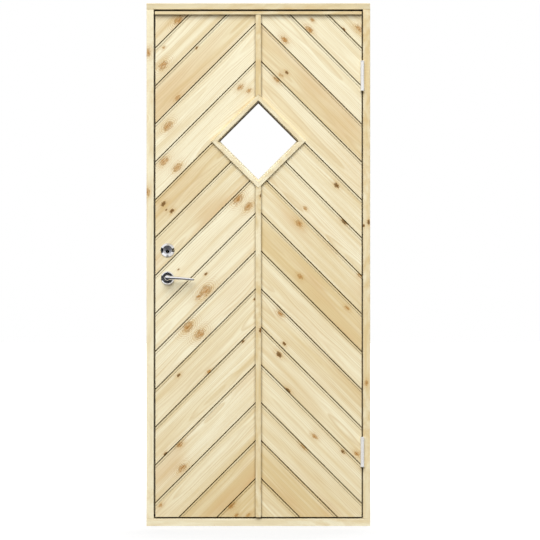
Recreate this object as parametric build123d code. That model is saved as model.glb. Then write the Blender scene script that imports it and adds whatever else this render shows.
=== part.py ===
from build123d import *
from math import ceil, sqrt
import os

# Frame, in millimetres: X to the right, Y away from the viewer, Z up from the sill's underside
frame_width = 890
frame_height = 2080
frame_depth = 92
jamb_face = 29
head_face = 25
sill_face = 31
sill_fall = 2
stop_width = 13
arris = 2
kerf_width = 3
kerf_depth = 7
screw_hole_r = 5
screw_hole_set_in = 45
screw_outer_pitch = 1780
screw_inner_pitch = 620

# Weather seal pressed into the stops
seal_set_in = 4.5
seal_stem = 2.6
seal_width = 7
seal_squash = 0.5
seal_end_gap = 0.5

# Leaf, front to back
swing_gap = 5
front_board = 16
core = 30
back_board = 12
stile_width = 95
rail_height = 95
muntin_width = 70

# Chevron boards: tongue on the upper edge, groove on the lower, a bead along the upper edge
board_cover = 106.7
board_joint = 3
board_arris = 1
first_joint_drop = 39.6
sliver_limit = 10
mitre_gap = 2
bead_width = 6.7
bead_set_back = 0.5
quirk_width = 1.6
quirk_depth = 1.3
tongue_length = 8.5
tongue_thickness = 5
groove_depth = 7.5
groove_thickness = 6
rear_shoulder = 2

# Upright boards on the back of the leaf
back_count = 8
back_rip = 34
back_joint = 1
back_vee = 3
back_tongue_length = 6
back_tongue_thickness = 4
back_groove_depth = 7
back_groove_thickness = 4.6

# Window: half sizes are square to the sides, and the casing's upper sides follow a board joint
window_joint = 2
casing_half = 126
casing_flange_half = 145
casing_fit = 0.5
batten_inner_half = 114.5
sight_half = 107
glass_rebate_half = 117.5
glass_half = 116.5
glass_thickness = 4
lip_depth = 12
lip_edge = 1.5
bead_half = 117
bead_bevel = 4
bead_set_down = 3
mitre_hairline = 0.2

# Battens on the front, and the drip strip along the top
batten_proud = 12
batten_arris = 1.5
window_batten_width = 18
centre_batten_width = 21.5
strip_height = 15
strip_proud = 14
strip_fall = 2
batten_end_gap = 0.3
back_batten_width = 18
back_batten_proud = 10

# Hinges
hinge_inset = 259
hinge_length = 120
hinge_offset = 10
barrel_r = 7
cap_r = 7.8
cap_height = 4
cap_chamfer = 1.2
knuckle_gap = 1
pin_r = 4
pin_clearance = 0.1
pin_reach = 38
pin_end_gap = 3
pin_root = 20
flange_thickness = 2.5
flange_reach = 34
flange_end_inset = 5
mortise_slack = 0.2

# Lock, roses and lever
lever_height = 987
backset = 50
cylinder_spacing = 105
ring_above_plug = 6
forend_width = 22
forend_thickness = 3
forend_below = 75
forend_length = 235
case_depth = 82
case_thickness = 15
case_below = 55
case_length = 185
case_slack = 0.3
bolt_recess = 6
bolt_thickness = 11
bolt_slack = 0.3
latch_above = 30
latch_height = 34
deadbolt_above = 100
deadbolt_height = 26
strike_thickness = 2
strike_width = 24
strike_below = 65
strike_length = 215
strike_pocket_depth = 14
strike_slack = 2
rose_r = 26
rose_thickness = 9
rose_rim = 5
rose_top_r = 22
neck_r = 9
neck_clearance = 0.3
lever_hole_r = 11
hub_root = 3
hub_neck_end = 12
hub_shoulder = 20
hub_r = 10.5
hub_reach = 53
hub_round = 3
bar_reach = 44
bar_length = 108
bar_r = 6.5
bar_sides = 16
bar_droop = 7
bar_return = 8
bar_stations = ((0, 1.0), (0.3, 0.94), (0.6, 0.84), (0.85, 0.74), (0.96, 0.66), (1, 0.36))
spindle_side = 8
spindle_fit = 0.1
spindle_reach = 22
ring_r = 27.5
ring_rim = 6
ring_thickness = 12
ring_top_r = 24.5
ring_fall = 1.5
ring_lip_r = 19
dish_r = 17.5
dish_rim = 0.8
dish_floor_r = 9
dish_depth = 3.5
sleeve_r = 16
sleeve_length = 22
cylinder_hole_r = 17
plug_r = 6.5
plug_proud = 1.4
plug_clearance = 0.1
key_slot_width = 2.2
key_slot_height = 8
key_slot_depth = 18
tail_width = 6
tail_thickness = 2.5
turn_stem_r = 6
turn_clearance = 0.3
turn_width = 12
turn_height = 36
turn_reach = 26
turn_collar = 12
turn_chamfer = 3

# Planes that follow from the sizes
half_width = frame_width / 2
front_y = -frame_depth / 2
back_y = frame_depth / 2
rebate_x = half_width - jamb_face
stop_x = rebate_x - stop_width
head_low = frame_height - head_face
head_stop = head_low - stop_width
sill_stop = sill_face + stop_width
sill_front = sill_face - sill_fall
leaf_right = rebate_x - swing_gap
leaf_left = -leaf_right
leaf_low = sill_face + swing_gap
leaf_top = head_low - swing_gap
back_cover = (leaf_right - leaf_left + back_rip) / back_count
core_front_y = front_y + front_board
core_back_y = core_front_y + core
core_mid_y = (core_front_y + core_back_y) / 2
leaf_back_y = core_back_y + back_board
stop_y = leaf_back_y + swing_gap
lever_x = leaf_left + backset
plug_z = lever_height + cylinder_spacing
ring_z = plug_z + ring_above_plug
apex_z = leaf_top - first_joint_drop
apex_pitch = board_cover * sqrt(2)
window_z = apex_z - window_joint * apex_pitch - casing_half * sqrt(2)
lip_back_y = front_y + lip_depth
glass_back_y = lip_back_y + glass_thickness
axis_x = leaf_right + swing_gap / 2
axis_y = front_y - hinge_offset


def block(x, y, z):
    middle = Pos(sum(x) / 2, sum(y) / 2, sum(z) / 2)
    return middle * Box(x[1] - x[0], y[1] - y[0], z[1] - z[0])


def prism(points, plane, length):
    outline = plane * make_face(Polyline(*points, close=True))
    return extrude(outline, amount=length, dir=plane.z_dir)


def upright(points, z):
    return prism(points, Plane.XY.offset(z[0]), z[1] - z[0])


def crosswise(points, x):
    return prism(points, Plane.YZ.offset(x[0]), x[1] - x[0])


def turned(points, x, z):
    return Pos(x, 0, z) * revolve(make_face(Polyline(*points, close=True)), axis=Axis.Y)


def rod_x(radius, x, y, z):
    return Pos(sum(x) / 2, y, z) * Rot(0, 90, 0) * Cylinder(radius, x[1] - x[0])


def rod_y(radius, x, y, z):
    return Pos(x, sum(y) / 2, z) * Rot(90, 0, 0) * Cylinder(radius, y[1] - y[0])


def rod_z(radius, x, y, z):
    return Pos(x, y, sum(z) / 2) * Cylinder(radius, z[1] - z[0])


def diamond(half, y):
    return Pos(0, 0, window_z) * Rot(0, 45, 0) * block((-half, half), y, (-half, half))


# A bar profile given as depth and distance from the window's centre, mitred round its four sides
def mitred(profile):
    outer = max(half for depth, half in profile)
    bar = crosswise([(depth, -half) for depth, half in profile], (-outer, outer))
    wedge = make_face(Polyline((0, -mitre_hairline), (outer, -outer - mitre_hairline),
                               (-outer, -outer - mitre_hairline), close=True))
    side = bar & extrude(Plane.XZ * wedge, amount=frame_depth, both=True)
    return [Pos(0, 0, window_z) * Rot(0, 45 + 90 * turn, 0) * side for turn in range(4)]


# Frame: head and sill run the full width, and the jambs stand between them
head = crosswise([
    (front_y, head_low + arris), (front_y + arris, head_low), (stop_y, head_low), (stop_y, head_stop),
    (back_y, head_stop), (back_y, frame_height), (front_y + arris, frame_height),
    (front_y, frame_height - arris)], (-half_width, half_width))
sill = crosswise([
    (front_y, 0), (back_y, 0), (back_y, sill_stop - arris), (back_y - arris, sill_stop), (stop_y, sill_stop),
    (stop_y, sill_face), (front_y + arris, sill_front), (front_y, sill_front - arris)],
    (-half_width, half_width))
jamb = upright([
    (half_width, front_y + arris), (half_width - arris, front_y), (rebate_x + arris, front_y),
    (rebate_x, front_y + arris), (rebate_x, stop_y), (stop_x, stop_y), (stop_x, back_y),
    (half_width, back_y)], (sill_front, head_low)) - head - sill

# Kerfs that hold the seal, and holes for the frame screws
kerf_y = (stop_y, stop_y + kerf_depth)
jamb_seal_x = stop_x + seal_set_in
head_seal_z = head_stop + seal_set_in
sill_seal_z = sill_stop - seal_set_in
jamb -= block((jamb_seal_x - kerf_width / 2, jamb_seal_x + kerf_width / 2), kerf_y, (sill_stop, head_stop))
for seal_z in (head_seal_z, sill_seal_z):
    kerf = block((-rebate_x, rebate_x), kerf_y, (seal_z - kerf_width / 2, seal_z + kerf_width / 2))
    head -= kerf
    sill -= kerf
screw_middle = frame_height / 2
for pitch in (screw_outer_pitch, screw_inner_pitch):
    for end in (-1, 1):
        jamb -= rod_x(screw_hole_r, (stop_x, half_width), front_y + screw_hole_set_in,
                      screw_middle + end * pitch / 2)
hinge_jamb = jamb
lock_jamb = mirror(jamb, about=Plane.YZ)

# Seal strips: a stem in the kerf and a soft bulb that the leaf closes on
bulb = swing_gap - seal_squash
seal_outline = [
    (-seal_stem / 2, 0), (-seal_stem / 2, kerf_depth), (seal_stem / 2, kerf_depth), (seal_stem / 2, 0),
    (seal_width / 2, 0), (seal_width / 2, -bulb / 2), (seal_width / 4, -bulb), (-seal_width / 4, -bulb),
    (-seal_width / 2, -bulb / 2), (-seal_width / 2, 0)]
tall_seal = upright(seal_outline, (sill_stop + seal_end_gap, head_stop - seal_end_gap))
cross_reach = rebate_x - seal_end_gap
cross_seal = Rot(0, 90, 0) * upright(seal_outline, (-cross_reach, cross_reach))
weather_seals = [
    Pos(jamb_seal_x, stop_y, 0) * tall_seal, Pos(-jamb_seal_x, stop_y, 0) * tall_seal,
    Pos(0, stop_y, head_seal_z) * cross_seal, Pos(0, stop_y, sill_seal_z) * cross_seal]

# Chevron boards: one tongued and grooved profile, laid at 45 degrees and trimmed to half the leaf
face_width = board_cover - board_joint
bead_start = face_width - bead_width
tongue_front = front_y + (front_board - tongue_thickness) / 2
groove_front = front_y + (front_board - groove_thickness) / 2
bead_y = front_y + bead_set_back
board_profile = [
    (front_y + board_arris, 0), (front_y, board_arris), (front_y, bead_start - quirk_width),
    (front_y + quirk_depth, bead_start - quirk_width / 2), (bead_y, bead_start),
    (bead_y, face_width - board_arris), (bead_y + board_arris, face_width), (tongue_front, face_width),
    (tongue_front, face_width + tongue_length), (tongue_front + tongue_thickness, face_width + tongue_length),
    (tongue_front + tongue_thickness, face_width + rear_shoulder), (core_front_y, face_width + rear_shoulder),
    (core_front_y, 0), (groove_front + groove_thickness, 0), (groove_front + groove_thickness, groove_depth),
    (groove_front, groove_depth), (groove_front, 0)]
board = crosswise(board_profile, (-frame_width, frame_height))
half_panel = block((leaf_left, -mitre_gap / 2), (front_y, core_front_y), (leaf_low, leaf_top))
half_panel -= diamond(casing_half, (front_y, core_front_y))
tongue_step = tongue_length / sqrt(2)
stopped_panel = half_panel
for tongue_shift in (Pos(-tongue_step, 0, tongue_step), Pos(0, 0, 2 * tongue_step)):
    stopped_panel -= tongue_shift * diamond(casing_half, (front_y, core_front_y))
apex_rise = apex_z / sqrt(2)
boards_above = ceil(((leaf_top - leaf_left) / sqrt(2) - apex_rise) / board_cover)
boards_below = ceil((apex_rise - leaf_low / sqrt(2) - sliver_limit) / board_cover)
left_boards = []
for row in range(-boards_above, boards_below):
    low_edge = apex_rise - (row + 1) * board_cover + board_joint / 2
    panel = half_panel if row < window_joint else stopped_panel
    left_boards += (Rot(0, -45, 0) * Pos(0, 0, low_edge) * board & panel).solids()
right_boards = [mirror(piece, about=Plane.YZ) for piece in left_boards]

# Upright back boards, the outer two ripped to the leaf's width
back_width = back_cover - back_joint
back_tongue_y = core_back_y + (back_board - back_tongue_thickness) / 2
back_groove_y = core_back_y + (back_board - back_groove_thickness) / 2
back_profile = upright([
    (0, leaf_back_y - back_vee), (back_vee, leaf_back_y), (back_width - back_vee, leaf_back_y),
    (back_width, leaf_back_y - back_vee), (back_width, back_tongue_y + back_tongue_thickness),
    (back_width + back_tongue_length, back_tongue_y + back_tongue_thickness),
    (back_width + back_tongue_length, back_tongue_y), (back_width, back_tongue_y),
    (back_width, core_back_y), (0, core_back_y), (0, back_groove_y), (back_groove_depth, back_groove_y),
    (back_groove_depth, back_groove_y + back_groove_thickness),
    (0, back_groove_y + back_groove_thickness)], (leaf_low, leaf_top))
back_panel = block((leaf_left, leaf_right), (core_back_y, leaf_back_y), (leaf_low, leaf_top))
back_panel -= diamond(casing_half, (core_back_y, leaf_back_y))
back_boards = []
for column in range(back_count):
    low_edge = (column - back_count / 2) * back_cover + back_joint / 2
    back_boards += (Pos(low_edge, 0, 0) * back_profile & back_panel).solids()

# Core frame between the two faces
core_y = (core_front_y, core_back_y)
lock_stile = block((leaf_left, leaf_left + stile_width), core_y, (leaf_low, leaf_top))
hinge_stile = block((leaf_right - stile_width, leaf_right), core_y, (leaf_low, leaf_top))
rail_x = (leaf_left + stile_width, leaf_right - stile_width)
top_rail = block(rail_x, core_y, (leaf_top - rail_height, leaf_top))
bottom_rail = block(rail_x, core_y, (leaf_low, leaf_low + rail_height))
muntin = block((-muntin_width / 2, muntin_width / 2), core_y, (leaf_low + rail_height, leaf_top - rail_height))
muntin -= diamond(casing_flange_half, core_y)

# Window casing, glass, beads and the battens that cover its joints
casing_out = casing_half - casing_fit
window_casing = mitred([
    (front_y, casing_out), (core_front_y, casing_out), (core_front_y, casing_flange_half),
    (core_back_y, casing_flange_half), (core_back_y, casing_out), (leaf_back_y, casing_out),
    (leaf_back_y, glass_rebate_half), (lip_back_y, glass_rebate_half), (lip_back_y, sight_half),
    (lip_back_y - lip_edge, sight_half), (front_y, batten_inner_half)])
window_glass = diamond(glass_half, (lip_back_y, glass_back_y))
glazing_beads = mitred([
    (glass_back_y, sight_half), (leaf_back_y - bead_set_down, sight_half + bead_bevel),
    (leaf_back_y - bead_set_down, bead_half), (glass_back_y, bead_half)])
batten_y = front_y - batten_proud
batten_out = batten_inner_half + window_batten_width
window_battens = mitred([
    (front_y, batten_inner_half), (front_y, batten_out), (batten_y + batten_arris, batten_out),
    (batten_y, batten_out - batten_arris), (batten_y, batten_inner_half + batten_arris),
    (batten_y + batten_arris, batten_inner_half)])
back_batten_y = leaf_back_y + back_batten_proud
back_batten_out = glass_rebate_half + back_batten_width
window_back_battens = mitred([
    (leaf_back_y, glass_rebate_half), (leaf_back_y, back_batten_out),
    (back_batten_y - batten_arris, back_batten_out), (back_batten_y, back_batten_out - batten_arris),
    (back_batten_y, glass_rebate_half + batten_arris), (back_batten_y - batten_arris, glass_rebate_half)])

# Drip strip and the centre battens, cut to fit over the window's corners
strip_y = front_y - strip_proud
strip_low = leaf_top - strip_height
drip_strip = crosswise([
    (front_y, leaf_top), (front_y, strip_low), (strip_y, strip_low),
    (strip_y, leaf_top - strip_fall)], (leaf_left, leaf_right))
half_batten = centre_batten_width / 2
batten_outline = [
    (-half_batten, front_y), (half_batten, front_y), (half_batten, batten_y + batten_arris),
    (half_batten - batten_arris, batten_y), (batten_arris - half_batten, batten_y),
    (-half_batten, batten_y + batten_arris)]
window_clear = diamond(batten_out + batten_end_gap, (batten_y, front_y))
upper_batten = upright(batten_outline, (window_z, strip_low - batten_end_gap)) - window_clear
lower_batten = upright(batten_outline, (leaf_low, window_z)) - window_clear


# Lift-off hinge: the jamb half carries the pin, the leaf half hangs on it
def hinge_half(middle, up, edge_x, inward):
    shoulder = middle + up * knuckle_gap / 2
    cap_root = middle + up * (hinge_length / 2 - cap_height)
    end = middle + up * hinge_length / 2
    barrel = rod_z(barrel_r, axis_x, axis_y, sorted((shoulder, cap_root)))
    cap = rod_z(cap_r, axis_x, axis_y, sorted((cap_root, end)))
    rims = cap.edges().filter_by(GeomType.CIRCLE).sort_by(Axis.Z)
    cap = chamfer(rims[-1] if up > 0 else rims[0], cap_chamfer)
    plate_z = sorted((shoulder + up * flange_end_inset, cap_root - up * flange_end_inset))
    plate_x = sorted((edge_x, edge_x + inward * flange_thickness))
    plate = block(plate_x, (axis_y, front_y + flange_reach), plate_z)
    slack = (-mortise_slack, mortise_slack)
    mortise = block(plate_x, (front_y, front_y + flange_reach + mortise_slack),
                    [level + give for level, give in zip(plate_z, slack)])
    return barrel + cap + plate, mortise


hinges = {}
for place, middle in (("upper", leaf_top - hinge_inset), ("lower", leaf_low + hinge_inset)):
    leaf_half, leaf_mortise = hinge_half(middle, 1, leaf_right, -1)
    jamb_half, jamb_mortise = hinge_half(middle, -1, rebate_x, 1)
    bore = rod_z(pin_r + pin_clearance, axis_x, axis_y, (middle, middle + pin_reach + pin_end_gap))
    hinges[place + "_hinge_leaf_half"] = leaf_half - bore
    hinges[place + "_hinge_frame_half"] = jamb_half + rod_z(
        pin_r, axis_x, axis_y, (middle - pin_root, middle + pin_reach))
    hinge_jamb -= jamb_mortise
    hinge_stile -= leaf_mortise
    right_boards = [piece - leaf_mortise for piece in right_boards]

# Lock case in the lock stile, its bolts drawn in flush, and the strike in the jamb
lock_y = (core_mid_y - case_thickness / 2, core_mid_y + case_thickness / 2)
forend_y = (core_mid_y - forend_width / 2, core_mid_y + forend_width / 2)
bolt_y = (core_mid_y - bolt_thickness / 2, core_mid_y + bolt_thickness / 2)
forend_back = leaf_left + forend_thickness
forend_z = (lever_height - forend_below, lever_height - forend_below + forend_length)
case_z = (lever_height - case_below, lever_height - case_below + case_length)
lever_hole = rod_y(lever_hole_r, lever_x, (front_y, leaf_back_y), lever_height)
cylinder_hole = rod_y(cylinder_hole_r, lever_x, (front_y, leaf_back_y), ring_z)
lock_case = block((leaf_left, forend_back), forend_y, forend_z)
lock_case += block((forend_back, forend_back + case_depth), lock_y, case_z)
strike_y = (core_mid_y - strike_width / 2, core_mid_y + strike_width / 2)
strike_z = (lever_height - strike_below, lever_height - strike_below + strike_length)
strike_back = -rebate_x - strike_thickness
strike_plate = block((strike_back, -rebate_x), strike_y, strike_z)
lock_jamb -= strike_plate
lock_bolts = []
for above, height in ((latch_above, latch_height), (deadbolt_above, deadbolt_height)):
    bolt_z = (lever_height + above - height / 2, lever_height + above + height / 2)
    wide_y = (bolt_y[0] - bolt_slack, bolt_y[1] + bolt_slack)
    wide_z = (bolt_z[0] - bolt_slack, bolt_z[1] + bolt_slack)
    lock_case -= block((leaf_left, leaf_left + bolt_recess), wide_y, wide_z)
    lock_bolts.append(block((leaf_left + bolt_slack, leaf_left + bolt_recess), bolt_y, bolt_z))
    keep_y = (bolt_y[0] - strike_slack, bolt_y[1] + strike_slack)
    keep_z = (bolt_z[0] - strike_slack, bolt_z[1] + strike_slack)
    keep = block((strike_back - strike_pocket_depth, -rebate_x), keep_y, keep_z)
    strike_plate -= keep
    lock_jamb -= keep
lock_case -= lever_hole
lock_case -= cylinder_hole
lock_stile -= block((leaf_left, forend_back), forend_y, forend_z)
lock_stile -= block(
    (leaf_left, forend_back + case_depth + case_slack), (lock_y[0] - case_slack, lock_y[1] + case_slack),
    (case_z[0] - case_slack, case_z[1] + case_slack))
lock_stile -= lever_hole
lock_stile -= cylinder_hole
left_boards = [piece - lever_hole - cylinder_hole for piece in left_boards]
back_boards = [piece - lever_hole - cylinder_hole for piece in back_boards]


# Roses and levers, the same on both faces: out is -1 towards the viewer and 1 behind
def rose(face_y, out, bore, z):
    return turned([
        (bore, face_y), (rose_r, face_y), (rose_r, face_y + out * rose_rim),
        (rose_top_r, face_y + out * rose_thickness), (bore, face_y + out * rose_thickness)], lever_x, z)


def lever(face_y, out):
    hub = turned([
        (0, face_y - out * hub_root), (neck_r, face_y - out * hub_root), (neck_r, face_y + out * hub_neck_end),
        (hub_r, face_y + out * hub_shoulder), (hub_r, face_y + out * (hub_reach - hub_round)),
        (hub_r - hub_round, face_y + out * hub_reach), (0, face_y + out * hub_reach)], lever_x, lever_height)
    sections = []
    for along, scale in bar_stations:
        middle = (lever_x + along * bar_length,
                  face_y + out * (bar_reach - bar_return * along ** 3),
                  lever_height - bar_droop * along ** 2)
        section = Plane(origin=middle, x_dir=(0, 1, 0), z_dir=(1, 0, 0))
        sections.append(section * RegularPolygon(bar_r * scale, bar_sides))
    socket = spindle_side / 2 + spindle_fit
    socket_y = sorted((face_y - out * hub_root, face_y + out * spindle_reach))
    bore = block((lever_x - socket, lever_x + socket), socket_y, (lever_height - socket, lever_height + socket))
    return hub + loft(sections, ruled=True) - bore


half_spindle = spindle_side / 2
lever_spindle = block(
    (lever_x - half_spindle, lever_x + half_spindle), (front_y - spindle_reach, leaf_back_y + spindle_reach),
    (lever_height - half_spindle, lever_height + half_spindle))

# Lock cylinder outside, with its plug below the ring's centre, and the thumb turn inside
ring_y = front_y - ring_thickness
dish_y = ring_y + dish_depth
lock_cylinder = turned([
    (0, front_y), (ring_r, front_y), (ring_r, front_y - ring_rim), (ring_top_r, ring_y + ring_fall),
    (ring_lip_r, ring_y), (dish_r, ring_y + dish_rim), (dish_floor_r, dish_y), (0, dish_y)], lever_x, ring_z)
lock_cylinder += rod_y(sleeve_r, lever_x, (front_y, front_y + sleeve_length), ring_z)
lock_cylinder -= rod_y(plug_r + plug_clearance, lever_x, (ring_y, front_y + sleeve_length), plug_z)
plug_front = dish_y - plug_proud
key_plug = rod_y(plug_r, lever_x, (plug_front, front_y + sleeve_length), plug_z)
key_plug -= block(
    (lever_x - key_slot_width / 2, lever_x + key_slot_width / 2), (plug_front, plug_front + key_slot_depth),
    (plug_z - key_slot_height / 2, plug_z + key_slot_height / 2))
key_plug += block(
    (lever_x - tail_thickness / 2, lever_x + tail_thickness / 2), (front_y + sleeve_length, leaf_back_y),
    (plug_z - tail_width / 2, plug_z + tail_width / 2))
collar_y = leaf_back_y + turn_collar
knob = block(
    (lever_x - turn_width / 2, lever_x + turn_width / 2), (collar_y, leaf_back_y + turn_reach),
    (plug_z - turn_height / 2, plug_z + turn_height / 2))
thumb_turn = chamfer(knob.edges(), turn_chamfer) + rod_y(turn_stem_r, lever_x, (leaf_back_y, collar_y), plug_z)

pieces = {
    "frame_head": [head],
    "frame_sill": [sill],
    "hinge_jamb": [hinge_jamb],
    "lock_jamb": [lock_jamb],
    "weather_seals": weather_seals,
    "strike_plate": [strike_plate],
    "left_chevron_boards": left_boards,
    "right_chevron_boards": right_boards,
    "back_boards": back_boards,
    "lock_stile": [lock_stile],
    "hinge_stile": [hinge_stile],
    "top_rail": [top_rail],
    "bottom_rail": [bottom_rail],
    "centre_muntin": muntin.solids(),
    "window_casing": window_casing,
    "window_glass": [window_glass],
    "glazing_beads": glazing_beads,
    "window_battens": window_battens,
    "window_back_battens": window_back_battens,
    "drip_strip": [drip_strip],
    "upper_centre_batten": [upper_batten],
    "lower_centre_batten": [lower_batten],
    "lock_case": [lock_case],
    "lock_bolts": lock_bolts,
    "outside_rose": [rose(front_y, -1, neck_r + neck_clearance, lever_height)],
    "inside_rose": [rose(leaf_back_y, 1, neck_r + neck_clearance, lever_height)],
    "lock_cylinder": [lock_cylinder],
    "thumb_turn_rose": [rose(leaf_back_y, 1, turn_stem_r + turn_clearance, plug_z)],
    "outside_lever": [lever(front_y, -1)],
    "inside_lever": [lever(leaf_back_y, 1)],
    "lever_spindle": [lever_spindle],
    "key_plug": [key_plug],
    "thumb_turn": [thumb_turn],
}
for name, half in hinges.items():
    pieces[name] = [half]

os.makedirs("parts", exist_ok=True)
for name, solids in pieces.items():
    whole = [solid for shape in solids for solid in shape.solids()]
    export_step(whole[0] if len(whole) == 1 else Compound(children=whole), f"parts/{name}.step")
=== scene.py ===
import bpy, bmesh, math, random
from mathutils import Matrix, Vector


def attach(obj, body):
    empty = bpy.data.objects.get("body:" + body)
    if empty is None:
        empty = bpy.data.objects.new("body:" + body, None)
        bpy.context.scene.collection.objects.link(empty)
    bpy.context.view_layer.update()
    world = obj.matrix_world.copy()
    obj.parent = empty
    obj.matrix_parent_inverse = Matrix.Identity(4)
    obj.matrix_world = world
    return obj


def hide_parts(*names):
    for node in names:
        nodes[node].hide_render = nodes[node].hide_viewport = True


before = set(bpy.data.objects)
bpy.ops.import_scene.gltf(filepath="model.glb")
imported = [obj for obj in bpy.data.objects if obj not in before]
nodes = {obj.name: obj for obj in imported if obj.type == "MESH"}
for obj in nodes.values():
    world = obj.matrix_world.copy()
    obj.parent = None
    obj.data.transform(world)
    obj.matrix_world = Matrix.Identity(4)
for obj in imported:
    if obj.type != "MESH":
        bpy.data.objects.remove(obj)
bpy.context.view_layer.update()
scene = bpy.context.scene
scene.view_settings.view_transform = "Standard"
mm = 0.001
slant = math.sqrt(0.5)
noiseEnds = (0.3, 0.7)  # where most of a noise lies
mathNode, vectorNode, rangeNode = "ShaderNodeMath", "ShaderNodeVectorMath", "ShaderNodeMapRange"
mixNode, noiseNode, placeNode = "ShaderNodeMix", "ShaderNodeTexNoise", "ShaderNodeTexCoord"
joinNode, splitNode, attributeNode = "ShaderNodeCombineXYZ", "ShaderNodeSeparateXYZ", "ShaderNodeAttribute"
chanceNode, channelNode, bumpNode = "ShaderNodeTexWhiteNoise", "ShaderNodeSeparateColor", "ShaderNodeBump"
print("frame loaded,", len(nodes), "nodes")


def colour(hexText):
    channels = [int(hexText[i:i + 2], 16) / 255 for i in (1, 3, 5)]
    return [c / 12.92 if c <= 0.04045 else ((c + 0.055) / 1.055) ** 2.4 for c in channels] + [1.0]


def add(tree, kind, settings=None, links=None, out=0):  # one node, its settings, what feeds it and what it gives
    node = tree.nodes.new(kind)
    for key, value in (settings or {}).items():
        if isinstance(key, int) or key in node.inputs:
            node.inputs[key].default_value = value
        else:
            setattr(node, key, value)
    for key, source in (links or {}).items():
        tree.links.new(source, node.inputs[key])
    return node.outputs if out is None else node.outputs[out]


def span(fromLow, fromHigh, toLow, toHigh, smooth=False):  # the ends of a map range
    ends = {1: fromLow, 2: fromHigh, 3: toLow, 4: toHigh}
    return {"interpolation_type": "SMOOTHSTEP", **ends} if smooth else ends


def perSize(size):  # pattern scale from a real length and width
    return 1 / (size[0] * mm), 1 / (size[1] * mm), 0


def blank(name):
    material = bpy.data.materials.new(name)
    material.use_nodes = True
    return material, material.node_tree, material.node_tree.nodes["Principled BSDF"]


def dress(members, material):  # CAD shapes that are shown as they are
    for member in members:
        nodes[member].material_slots[0].material = material


# planed Nordic pine, untreated: cream earlywood, honey latewood lines, tan knots that the grain flows round
pine = {
    "pale": "#F8F0D1", "honey": "#E0CA98", "late": "#D3B783", "heart": "#D6AE76", "dull": "#C4B897",
    "knotHalo": "#D6B26E", "knotBody": "#BA8645", "knotRim": "#8B5F2D", "knotHeart": "#9A6C33", "knotDead": "#6A4C23",
    # end grain, then the dark brown painted shade in the gaps round the leaf
    "endGrain": "#7A5A34", "gapShade": "#2C1B06",
    "jointPaintedShade": "#5A4606",   # painted shade in the depth of the joints, warm where light reaches it
    "paintedShade": "#4C3004",  # painted shade beside the battens, under the strip and in the window opening
    "roughness": (0.56, 0.46), "gloss": 0.35, "shadeGloss": 0.02, "relief": 0.3, "reliefStrength": 0.35,
    # growth rings, in millimetres, a little coarse so that the lines show at this size
    "ringWidth": 4.2, "ringStray": 13.0, "pithDepth": 38.0, "pithAside": 50.0, "front": 46.0, "ringSlant": 0.9,
    "ringRise": (0.25, 0.85, 0.0, 1.0), "ringDrop": (0.86, 1.0, 1.0, 0.0), "faintYear": 0.25,
    "seedScale": 1.3, "seedSpread": 37.0, "seedHeart": (0.0, 0.3),
    # patches in millimetres along and across the grain, fibres coarser than real ones, which would vanish
    "wander": ((420.0, 130.0), {"Detail": 2.0, "Roughness": 0.45}),
    "streak": ((700.0, 26.0), {"Detail": 3.0, "Roughness": 0.6}),
    "fibre": ((90.0, 5.0), {"Detail": 3.0, "Roughness": 0.6}),
    "ragged": ((4.0, 9.0), {"Detail": 3.0, "Roughness": 0.7}),
    "stroke": ((22.0, 4.5), {"Detail": 3.0, "Roughness": 0.65, "Distortion": 0.6}),
    "streakShare": (0.33, 0.67, -0.36, 0.46), "fibreShare": (0.48, 0.75, 0.0, 0.22),
    "heartShare": (0.45, 0.75, 0.0, 0.8),
    # knots: the smallest one by chance in millimetres, edges and lines in radii from the middle of each
    "knotStretch": 0.62, "knotBend": 2.0, "knotLeast": 0.05, "knotScatter": 0.8, "deadReach": 1.6,
    "raggedEdge": 0.45, "haloRagged": 2.2, "rimAt": 0.95,
    "fur": (0.38, 0.58, 0.3, 1.0), "deadEdge": (0.7, 1.2, 0.8, 0.0),
    "circlesEach": 2.4, "circleLine": (0.3, 0.48, 0.0, 1.0), "circleFade": (1.0, 4.0, 0.7, 0.0),
    "knotLayers": (("wide", 0.5, 2.4, 0.65, "knotHalo"), ("near", 0.4, 1.3, 0.95, "knotBody"),
                   ("rim", 0.02, 0.25, 0.6, "knotRim"), ("near", 0.0, 0.6, 0.7, "knotHeart")),
    # how far the painted shade in the gaps reaches in millimetres, and how much painted shade the lower sides of the
    # window opening get
    "gapShadeHalf": 420.0, "gapShadeTop": 2060.0, "revealLow": 0.28,
}
window = {"centre": 1530.4, "casing": 126.0}
backBoards = {"cover": 107.0}
# where a point of the photo lies on the door: millimetres in a pixel, then two places in pixels
photo = {"pixel": 3.979, "centre": 258.35, "floor": 526.0}


def photoPlace(across, down):
    return (across - photo["centre"]) * photo["pixel"], (photo["floor"] - down) * photo["pixel"]


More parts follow.
